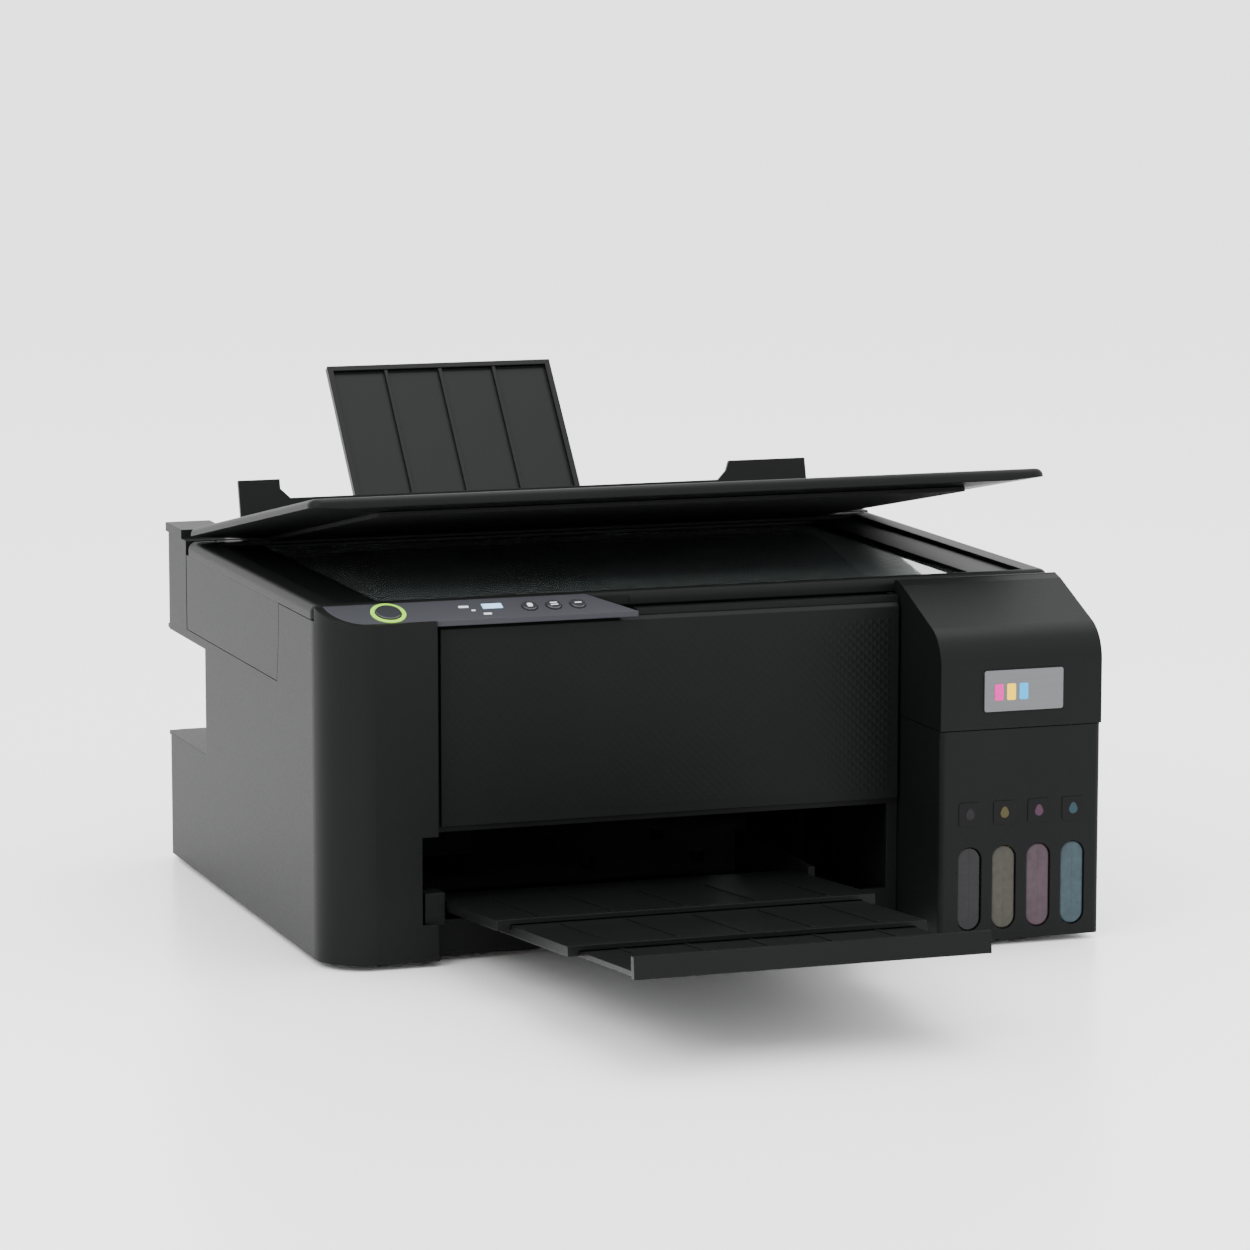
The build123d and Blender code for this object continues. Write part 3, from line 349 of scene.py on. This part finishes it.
def lattice_tree():
    """Small raised diamonds in a staggered grid that fade towards one side."""
    tree = bpy.data.node_groups.new("DiamondLattice", "GeometryNodeTree")
    tree.interface.new_socket("Geometry", in_out="OUTPUT", socket_type="NodeSocketGeometry")
    names = {
        "width": tree_input(tree, "Width", "NodeSocketFloat", 0.2),
        "height": tree_input(tree, "Height", "NodeSocketFloat", 0.09),
        "columns": tree_input(tree, "Columns", "NodeSocketInt", 50),
        "rows": tree_input(tree, "Rows", "NodeSocketInt", 24),
        "size": tree_input(tree, "Diamond Size", "NodeSocketFloat", 0.002),
        "relief": tree_input(tree, "Relief", "NodeSocketFloat", 0.0003),
        "reach": tree_input(tree, "Reach", "NodeSocketFloat", 0.15),
        "corner": tree_input(tree, "Corner", "NodeSocketVector", (0, 0, 0)),
        "material": tree_input(tree, "Material", "NodeSocketMaterial", None),
    }
    given = add(tree, "NodeGroupInput")
    grid = add(tree, "GeometryNodeMeshGrid",
               {"Size X": given.outputs["Width"], "Size Y": given.outputs["Height"]})
    tree.links.new(given.outputs["Columns"], grid.inputs["Vertices X"])
    tree.links.new(given.outputs["Rows"], grid.inputs["Vertices Y"])
    cone = add(tree, "GeometryNodeMeshCone",
               {"Vertices": 4, "Radius Top": 0.0, "Radius Bottom": given.outputs["Diamond Size"],
                "Depth": given.outputs["Relief"]}, fill_type="NONE")
    # height fades with the distance from the upper right corner
    spot = add(tree, "GeometryNodeInputPosition")
    far = add(tree, "ShaderNodeVectorMath",
              {0: spot.outputs[0], 1: given.outputs["Corner"]}, operation="DISTANCE")
    fade = add(tree, "ShaderNodeMapRange",
               {"Value": far.outputs["Value"], "From Max": given.outputs["Reach"]})
    fade.inputs["To Min"].default_value = 1.0
    fade.inputs["To Max"].default_value = 0.25
    tall = add(tree, "ShaderNodeCombineXYZ", {"X": 1.0, "Y": 1.0, "Z": fade.outputs[0]})
    copies = add(tree, "GeometryNodeInstanceOnPoints",
                 {"Points": grid.outputs[0], "Instance": cone.outputs[0], "Scale": tall.outputs[0]})
    real = add(tree, "GeometryNodeRealizeInstances", {"Geometry": copies.outputs[0]})
    done = add(tree, "GeometryNodeSetMaterial",
               {"Geometry": real.outputs[0], "Material": given.outputs["Material"]})
    add(tree, "NodeGroupOutput", {0: done.outputs[0]})
    return tree, names


# ------------------------------------------------------------ sizes and colours
class PrinterColours(bpy.types.PropertyGroup):
    housing: bpy.props.StringProperty(
        name="Housing", description="Colour of the moulded housing, as a hex value", default="#0c0d0d")
    strip: bpy.props.StringProperty(
        name="Button strip", description="Colour of the sloping strip", default="#323337")
    ring: bpy.props.StringProperty(
        name="Power ring", description="Colour of the light ring round the power button", default="#8cc63a")


class PrinterSizes(bpy.types.PropertyGroup):
    grain: bpy.props.FloatProperty(
        name="Grain", description="Spacing of the eroded grain on the housing, in millimetres", default=0.9)
    badge_width: bpy.props.FloatProperty(
        name="Badge width", description="Width of the plate on the tank cover",
        default=0.041, subtype="DISTANCE", unit="LENGTH")
    lattice_pitch: bpy.props.FloatProperty(
        name="Lattice pitch", description="Spacing of the diamonds on the front panel",
        default=0.0042, subtype="DISTANCE", unit="LENGTH")


MATERIALS = {}


def finish(key):
    """Returns a finish by name, made when it is first asked for."""
    if key in MATERIALS:
        return MATERIALS[key]
    colours = bpy.context.scene.printer_colours
    grain = bpy.context.scene.printer_sizes.grain
    makers = {
        # High-impact polystyrene from a spark-eroded mould: dark, finely pebbled, broad soft highlights
        "housing": lambda: grained("EtchedPolystyreneCharcoal", colours.housing, 0.46, grain, 0.5),
        # The same plastic where the mould is cut with fine diamonds, so its edges are left sharp
        "lattice": lambda: grained("DiamondCutPolystyrene", colours.housing, 0.42, grain, 0.4, 0.06, 0.01),
        # The same plastic from a smoother mould, a little glossier
        "smooth": lambda: grained("SmoothPolystyreneCharcoal", "#0c0d0d", 0.34, 0.6, 0.25),
        # Unlit inner mouldings, matt and almost black
        "inner": lambda: grained("MattPolystyreneBlack", "#090909", 0.6, 1.2, 0.4),
        # Satin grey ABS on the sloping strip
        "strip": lambda: grained("SatinAbsGrey", colours.strip, 0.4, 0.6, 0.2, 0.03),
        # Polished ABS keys under a clear coat
        "key": lambda: grained("PolishedAbsKeys", "#2a2b2e", 0.25, 0.5, 0.1, 0.02, 0.4, 0.5),
        # EPDM rubber: matt, faintly dusty
        "rubber": lambda: grained("MouldedRubber", "#161616", 0.8, 0.8, 0.5, 0.1, 0.4),
        # Closed-cell foam behind a matt film, coloured near black as painted shade: it stands for the shadow
        # under the raised cover
        "pad": lambda: grained("FoamPadPaintedShade", "#101011", 0.75, 2.5, 0.5, 0.015),
        "steel": lambda: sheet_steel("ZincPlatedSheetSteel", "#a5a7aa", 0.32, (0.05, 1, 1)),
        "rod": lambda: sheet_steel("GroundSteelRod", "#b4b6b8", 0.2, (0.05, 1, 1)),
        "badge": lambda: sheet_steel("BrushedAluminiumPlate", "#636466", 0.45, (0.05, 1, 1)),
        "board": lambda: circuit_board("GreenSolderResistBoard"),
        # Soda-lime float glass over the bed
        "glass": lambda: see_through("FloatGlassGrey", "#c6d2d0", 0.02, 0.9, 1.52),
        "ring": lambda: lit("LightGuideGreen", colours.ring, 0.35),
        "lens": lambda: lit("DisplayLensBlue", "#9fc8ec", 0.5),
        # Polished dark label tiles under a hard coat
        "label": lambda: grained("PolishedLabelTile", "#040405", 0.3, 1.0, 0.05, 0.02, 0.2, 0.05),
        # Etched polyester film
        "lens_strip": lambda: see_through("EncoderFilm", "#8a8f96", 0.25, 0.5, 1.6),
        "chip_magenta": lambda: grained("PrintedMagenta", "#c8258c", 0.35, 0.6, 0.05, 0.02, 0.1),
        "chip_yellow": lambda: grained("PrintedYellow", "#f0c419", 0.35, 0.6, 0.05, 0.02, 0.1),
        "chip_cyan": lambda: grained("PrintedCyan", "#259ad6", 0.35, 0.6, 0.05, 0.02, 0.1),
        "mark": lambda: grained("PaintedMarksPale", "#b9bcc0", 0.5, 0.6, 0.1, 0.02, 0.1),
    }
    inks = {"black": "#17171b", "yellow": "#b99a2a", "magenta": "#a3487e", "cyan": "#2f7f93"}
    for ink, colour in inks.items():
        makers["tank_" + ink] = lambda c=colour, n=ink: grained(
            "TintedPolypropylene" + n.title(), c, 0.3, 1.5, 0.15, 0.05, 0.5, 0.3)
        smoked = {"black": "#111113", "yellow": "#2f2d27", "magenta": "#35292f", "cyan": "#253339"}[ink]
        faint = {"black": "#1c1c1e", "yellow": "#3f3a26", "magenta": "#3d2a36", "cyan": "#24363d"}[ink]
        makers["drop_" + ink] = lambda c=faint, n=ink: grained(
            "PrintedDrop" + n.title(), c, 0.4, 0.6, 0.05, 0.02, 0.1)
        makers["window_" + ink] = lambda c=smoked, n=ink: grained(
            "SmokedWindow" + n.title(), c, 0.2, 3.0, 0.05, 0.12, 0.8, 0.25)
    MATERIALS[key] = makers[key]()
    return MATERIALS[key]


NODE_FINISH = {
    "housing": ["main_housing", "tank_housing", "tank_cover", "right_side_cover", "scanner_top_frame",
                "scanner_base", "document_cover", "rear_cover", "front_panel"],
    "smooth": ["cover_hinges", "feeder_guard", "tray_stage_1", "tray_stage_2", "tray_stage_3",
               "tray_stopper", "paper_support"],
    "inner": ["base_tray", "paper_hopper", "feeder_back", "edge_guide_left", "edge_guide_right",
              "print_carriage", "print_head", "platen", "capping_station", "scan_carriage", "power_supply",
              "mains_inlet", "carriage_idler_pulley", "scan_pulley_left", "scan_pulley_right"],
    "strip": ["control_panel"],
    "key": ["power_button", "copy_button", "scan_button", "cancel_button"],
    "rubber": ["rubber_feet", "carriage_belt", "scan_belt", "feed_roller", "eject_roller", "pinch_rollers",
               # the document pad takes the near-black painted-shade finish
               "pickup_roller"],
    "pad": ["document_pad"],
    "steel": ["carriage_rail", "drive_motors", "carriage_drive_pulley"],
    "rod": ["scan_rod", "scanner_pivots"],
    "board": ["mainboard"],
    "glass": ["scanner_glass"],
    "lens": ["status_window"],
}
for ink_name in INKS:
    NODE_FINISH["tank_" + ink_name] = ["ink_tank_" + ink_name, "tank_cap_" + ink_name]


class PRINTER_OT_finishes(bpy.types.Operator):
    """Gives every moulded, pressed and turned part of the printer its finish"""

    bl_idname = "printer.finishes"
    bl_label = "Finishes"

    def execute(self, context):
        for key, nodes in NODE_FINISH.items():
            for name in nodes:
                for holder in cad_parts[name].material_slots:
                    holder.material = finish(key)
        return {"FINISHED"}


class PRINTER_OT_front_panel(bpy.types.Operator):
    """Embosses the fine diamonds on the front panel"""

    bl_idname = "printer.front_panel"
    bl_label = "Front panel"

    def execute(self, context):
        low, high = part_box("front_panel")
        pitch = context.scene.printer_sizes.lattice_pitch
        top_lip = 3.6 * MM
        proud = 0.02 * MM
        wide = high[0] - low[0] - 3 * pitch
        tall = high[2] - low[2] - top_lip - 2 * pitch
        columns = int(wide / pitch) + 1
        rows = int(tall / pitch) + 1
        parts = []
        for shift in (0, 0.5):
            tree, names = lattice_tree()
            values = {
                names["width"]: (columns - 1) * pitch,
                names["height"]: (rows - 1) * pitch,
                names["columns"]: columns,
                names["rows"]: rows,
                names["size"]: pitch * 0.47,
                names["relief"]: 0.13 * MM,
                names["reach"]: wide * 0.8,
                names["corner"]: (wide / 2, tall / 2, 0),
                names["material"]: finish("lattice"),
            }
            mesh = evaluated_mesh(run_tree(tree, "lattice", values), "lattice")
            bm = bmesh.new()
            bm.from_mesh(mesh)
            bpy.data.meshes.remove(mesh)
            aside = (shift - 0.25) * pitch
            place = facing_front((low[0] + high[0]) / 2 + aside, low[1] - proud,
                                 (low[2] + high[2] - top_lip) / 2 + aside)
            bmesh.ops.transform(bm, matrix=place, verts=bm.verts)
            bmesh.ops.holes_fill(bm, edges=bm.edges)
            parts.append(bm)
        piece("front_panel_lattice", merged(parts, "front_panel_lattice"),
              "chassis", finish("lattice"))
        return {"FINISHED"}


STRIP_SLOPE = math.radians(23)
ON_STRIP = 0.01 * MM
ON_KEY = 1.0 * MM
# Each key's symbol is made of bars: across, along the slope, width and height in millimetres
KEY_BARS = {
    "copy_button": ((0, 0, 2.6, 3.2),),
    "scan_button": ((0, -0.8, 3.6, 0.8), (0, 1, 3.6, 0.8)),
    "cancel_button": ((0, 0, 3.4, 0.8),),
}
# The printed marks round the display window, in the same way
STRIP_BARS = ((-14, 2.5, 5, 1.8), (-4, -4.5, 4, 1.6), (-10, -1.0, 2, 1.2))


def strip_place(x, along, lift):
    """Places a plate on the sloping strip: X to the right, Y up the slope, Z out of it."""
    low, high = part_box("control_panel")
    centre = Vector((x, (low[1] + high[1]) / 2, high[2] - 3.5 * MM))
    turn = Euler((STRIP_SLOPE, 0, 0)).to_matrix().to_4x4()
    return Matrix.Translation(centre) @ turn @ Matrix.Translation((0, along, lift))


def middle(node):
    """The centre of a part's box."""
    low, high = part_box(node)
    return [(a + b) / 2 for a, b in zip(low, high)]


def bar_mark(wide, tall, place):
    """A printed bar with round corners."""
    return plate(rounded(wide, tall, min(wide, tall) * 0.3, 2), 0.12 * MM, place, 0)


def bar_marks(x, bars, lift):
    """The bars of one symbol, placed on the strip round a point."""
    return [bar_mark(wide * MM, tall * MM, strip_place(x + across * MM, along * MM, lift))
            for across, along, wide, tall in bars]


class PRINTER_OT_button_strip(bpy.types.Operator):
    """Adds the light ring and the small symbols on the sloping strip"""

    bl_idname = "printer.button_strip"
    bl_label = "Button strip"

    def execute(self, context):
        x = middle("power_button")[0]
        light = ring(8.5 * MM, 6.5 * MM, 0.5 * MM, strip_place(x, 0, ON_STRIP))
        piece_from(light, "power_light_ring", "chassis", "ring")
        power = [ring(2.6 * MM, 2.0 * MM, 0.12 * MM, strip_place(x, -0.3 * MM, ON_KEY)),
                 bar_mark(0.7 * MM, 2.4 * MM, strip_place(x, 2.0 * MM, ON_KEY + 0.06 * MM))]
        piece("power_symbol", merged(power, "power_symbol"), "power_button", finish("mark"))
        for button, bars in KEY_BARS.items():
            marks = bar_marks(middle(button)[0], bars, ON_KEY)
            name = button + "_symbol"
            piece(name, merged(marks, name), button, finish("mark"))
        marks = bar_marks(middle("status_window")[0], STRIP_BARS, ON_STRIP)
        piece("strip_marks", merged(marks, "strip_marks"), "chassis", finish("mark"))
        return {"FINISHED"}


class PRINTER_OT_tank_front(bpy.types.Operator):
    """Adds the smoked windows, ink labels and plate on the ink tank block"""

    bl_idname = "printer.tank_front"
    bl_label = "Tank front"

    def execute(self, context):
        wide, tall = 12.1 * MM, 40.6 * MM
        for k, ink in enumerate(INKS):
            x = TANK_FIRST + k * TANK_PITCH
            shape = rounded(wide, tall, wide / 2 - 0.01 * MM, 10)
            window = plate(shape, 1.9 * MM, facing_front(x, TANK_FACE + 2.6 * MM, 28.5 * MM), 0.8 * MM)
            piece_from(window, "tank_window_" + ink, "chassis", "window_" + ink)
            tile = plate(rounded(11.6 * MM, 11.6 * MM, 1.4 * MM), 0.35 * MM,
                         facing_front(x, TANK_FACE, 65 * MM), 0.15 * MM)
            piece_from(tile, "ink_label_" + ink, "chassis", "label")
            drop = []
            for n in range(24):
                angle = 2 * math.pi * n / 24
                reach = 2.2 * MM * (1 + 0.55 * max(0.0, math.sin(angle)) ** 6)
                drop.append((reach * math.cos(angle), reach * math.sin(angle)))
            mark = plate(drop, 0.12 * MM, facing_front(x, TANK_FACE - 0.34 * MM, 64.6 * MM), 0)
            piece_from(mark, "ink_drop_" + ink, "chassis", "drop_" + ink)
        low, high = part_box("tank_cover")
        badge_x = (low[0] + high[0]) / 2 + 0.8 * MM
        badge_wide = context.scene.printer_sizes.badge_width
        badge = plate(rounded(badge_wide, 20 * MM, 1.2 * MM), 0.9 * MM,
                      facing_front(badge_x, TANK_FACE, 124.2 * MM), 0.35 * MM)
        piece_from(badge, "tank_badge", "tank_cover", "badge")
        for k, ink in enumerate(("magenta", "yellow", "cyan")):
            chip_x = badge_x - badge_wide / 2 + (7.5 + 6.4 * k) * MM
            chip = plate(rounded(4.6 * MM, 8 * MM, 0.8 * MM, 3), 0.2 * MM,
                         facing_front(chip_x, TANK_FACE - 0.88 * MM, 123.6 * MM), 0.08 * MM)
            piece_from(chip, "badge_chip_" + ink, "tank_cover", "chip_" + ink)
        tab = plate(rounded(9 * MM, 3 * MM, 0.8 * MM, 3), 0.3 * MM,
                    Matrix.Translation((badge_x - 2 * MM, high[1] - 5 * MM, high[2] - 0.9 * MM))
                    @ Euler((math.radians(14), 0, 0)).to_matrix().to_4x4(), 0.1 * MM)
        piece_from(tab, "cover_finger_mark", "tank_cover", "mark")
        return {"FINISHED"}


def block(x, y, z, ease=0.0):
    """A small eased block centred at the origin, for repeating along a row."""
    bm = bmesh.new()
    bmesh.ops.create_cube(bm, size=1.0)
    bmesh.ops.scale(bm, verts=bm.verts, vec=(x, y, z))
    if ease:
        bmesh.ops.bevel(bm, geom=bm.edges[:], offset=ease, segments=2, affect="EDGES", profile=0.5)
    return bm


def turned(section, place, steps=20):
    """Turns a section of radius and height pairs about Z, closed at both ends."""
    bm = bmesh.new()
    rows = []
    angles = [2 * math.pi * k / steps for k in range(steps)]
    for radius, height in section:
        rows.append([bm.verts.new((radius * math.cos(a), radius * math.sin(a), height)) for a in angles])
    for low, high in zip(rows, rows[1:]):
        for k in range(steps):
            n = (k + 1) % steps
            bm.faces.new((low[k], low[n], high[n], high[k]))
    bm.faces.new(rows[0])
    bm.faces.new(rows[-1])
    bmesh.ops.transform(bm, matrix=place, verts=bm.verts)
    return bm


TRAY_RISE = math.radians(4.8)
TRAY_STEP = 2.8 * MM
TRAY_MOUTH = 30 * MM
RIB_LONG = 70 * MM
RIB_COUNT = 5


class PRINTER_OT_tray_ribs(bpy.types.Operator):
    """Adds the low ribs that carry the sheet on the output tray"""

    bl_idname = "printer.tray_ribs"
    bl_label = "Tray ribs"

    def execute(self, context):
        tilt = Euler((-TRAY_RISE, 0, 0)).to_matrix().to_4x4()
        for n in (1, 2, 3):
            node = "tray_stage_%d" % n
            low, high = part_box(node)
            wide = high[0] - low[0] - 44 * MM
            # the last stage keeps its ribs behind the stopper flap
            clear = 36 * MM if n == 3 else 4 * MM
            rib = block(2.2 * MM, RIB_LONG, 0.36 * MM, 0.1 * MM)
            bmesh.ops.transform(rib, matrix=tilt, verts=rib.verts)
            y = low[1] + (RIB_LONG / 2 + clear) * math.cos(TRAY_RISE)
            row_of("tray_ribs_%d" % n, rib, RIB_COUNT, (low[0] + 22 * MM, y, tray_top(n, y)),
                   (wide / (RIB_COUNT - 1), 0, 0), node, finish("smooth"))
        return {"FINISHED"}


def tray_top(n, y):
    """The height of a tray stage's upper face at a given depth."""
    panel_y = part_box("main_housing")[0][1] + 8 * MM
    step = (n - 1) * TRAY_STEP
    return TRAY_MOUTH - (y - panel_y) * math.tan(TRAY_RISE) - step / math.cos(TRAY_RISE) + 0.16 * MM


class PRINTER_OT_rear_details(bpy.types.Operator):
    """Adds the rear vents and the case screws"""

    bl_idname = "printer.rear_details"
    bl_label = "Rear details"

    def execute(self, context):
        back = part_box("main_housing")[1][1]
        slat = block(1.6 * MM, 0.8 * MM, 26 * MM, 0.35 * MM)
        row_of("rear_vent_slats", slat, 16, (30 * MM, back - 0.3 * MM, 95 * MM), (4 * MM, 0, 0),
               "chassis", finish("inner"))
        section = ((0.1, 0), (3, 0), (3.2, 0.3), (2.6, 1.1), (1.5, 1.3), (1.4, 0.6), (0.1, 0.6))
        head = turned([(radius * MM, height * MM) for radius, height in section],
                      Euler((math.radians(-90), 0, 0)).to_matrix().to_4x4())
        row_of("rear_case_screws", head, 3, (-100 * MM, back - 1.0 * MM, 20 * MM), (110 * MM, 0, 0),
               "chassis", finish("rod"))
        return {"FINISHED"}


class PRINTER_OT_inner_details(bpy.types.Operator):
    """Adds the star wheels over the eject roller and the strip that the carriage reads"""

    bl_idname = "printer.inner_details"
    bl_label = "Inner details"

    def execute(self, context):
        low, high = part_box("eject_roller")
        axis_y = (low[1] + high[1]) / 2
        spikes = []
        for k in range(16):
            angle = 2 * math.pi * k / 16
            reach = (3.4 if k % 2 else 2.6) * MM
            spikes.append((reach * math.cos(angle), reach * math.sin(angle)))
        wheel = plate(spikes, 0.5 * MM, Euler((0, math.radians(90), 0)).to_matrix().to_4x4(), 0)
        row_of("star_wheels", wheel, 10, (low[0] + 30 * MM, axis_y, high[2] + 3.9 * MM), (20 * MM, 0, 0),
               "chassis", finish("steel"))
        rail_low, rail_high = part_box("carriage_rail")
        strip = plate(rounded(rail_high[0] - rail_low[0] - 10 * MM, 5 * MM, 1 * MM, 2), 0.2 * MM,
                      facing_front(0, rail_low[1] + 12 * MM, 117.5 * MM), 0)
        piece_from(strip, "encoder_strip", "chassis", "lens_strip")
        return {"FINISHED"}


# Each lamp's name, place, size and power
LAMPS = (
    ("key", (-1.6, -1.2, 1.7), 1.2, 30),
    ("top", (0.3, 0.2, 2.2), 1.6, 34),
    ("right", (1.8, -1.0, 1.1), 1.0, 9),
)
LAMPS_AIM = Vector((0, 0, 0.1))
ROOM_LIGHT = 2.6
CAMERA_PLACE = (-0.82007, -2.30063, 0.51924)
CAMERA_TURN = (math.radians(90 - 8.62), 0, math.radians(-19.13))
CAMERA_LENS = 146.6


class PRINTER_OT_stage(bpy.types.Operator):
    """Sets the floor, the studio light and the camera"""

    bl_idname = "printer.stage"
    bl_label = "Stage"

    def execute(self, context):
        bm = bmesh.new()
        bmesh.ops.create_grid(bm, x_segments=1, y_segments=1, size=6)
        floor = bpy.data.objects.new("floor", mesh_from(bm, "floor"))
        bpy.context.scene.collection.objects.link(floor)
        # Pale sealed floor: smooth enough to mirror the printer softly
        paper, _, shader = new_material("PaleStudioFloor")
        shader.inputs["Base Color"].default_value = linear("#ffffff")
        shader.inputs["Roughness"].default_value = 0.28
        floor.data.materials.append(paper)
        world = bpy.data.worlds.new("studio")
        world.use_nodes = True
        background = world.node_tree.nodes["Background"]
        background.inputs["Color"].default_value = (1, 1, 1, 1)
        background.inputs["Strength"].default_value = ROOM_LIGHT
        context.scene.world = world
        for name, place, size, power in LAMPS:
            lamp = bpy.data.lights.new(name, "AREA")
            lamp.energy = power
            lamp.size = size
            made = bpy.data.objects.new(name, lamp)
            made.location = place
            made.rotation_euler = (LAMPS_AIM - Vector(place)).to_track_quat("-Z", "Y").to_euler()
            context.scene.collection.objects.link(made)
        lens = bpy.data.cameras.new("camera")
        lens.sensor_width = 36
        lens.lens = CAMERA_LENS
        lens.clip_end = 50
        camera = bpy.data.objects.new("camera", lens)
        camera.location = CAMERA_PLACE
        camera.rotation_euler = CAMERA_TURN
        context.scene.collection.objects.link(camera)
        context.scene.camera = camera
        return {"FINISHED"}


class PRINTER_PT_parts(bpy.types.Panel):
    """Lists the printer's parts in the sidebar"""

    bl_idname = "PRINTER_PT_parts"
    bl_label = "Inkjet Printer"
    bl_space_type = "VIEW_3D"
    bl_region_type = "UI"
    bl_category = "Printer"

    def draw(self, context):
        for name in ("housing", "strip", "ring"):
            self.layout.prop(context.scene.printer_colours, name)
        for name in ("grain", "badge_width", "lattice_pitch"):
            self.layout.prop(context.scene.printer_sizes, name)
        for operator in OPERATORS:
            self.layout.operator(operator.bl_idname)


OPERATORS = (PRINTER_OT_finishes, PRINTER_OT_front_panel, PRINTER_OT_button_strip, PRINTER_OT_tank_front,
             PRINTER_OT_tray_ribs, PRINTER_OT_rear_details, PRINTER_OT_inner_details, PRINTER_OT_stage)
CLASSES = (PrinterColours, PrinterSizes) + OPERATORS + (PRINTER_PT_parts,)


def register():
    for item in CLASSES:
        bpy.utils.register_class(item)
    bpy.types.Scene.printer_colours = bpy.props.PointerProperty(type=PrinterColours)
    bpy.types.Scene.printer_sizes = bpy.props.PointerProperty(type=PrinterSizes)


def unregister():
    del bpy.types.Scene.printer_colours
    del bpy.types.Scene.printer_sizes
    for item in reversed(CLASSES):
        bpy.utils.unregister_class(item)


def main():
    register()
    for operator in OPERATORS:
        group, call = operator.bl_idname.split(".")
        getattr(getattr(bpy.ops, group), call)()


if __name__ == "__main__":
    main()
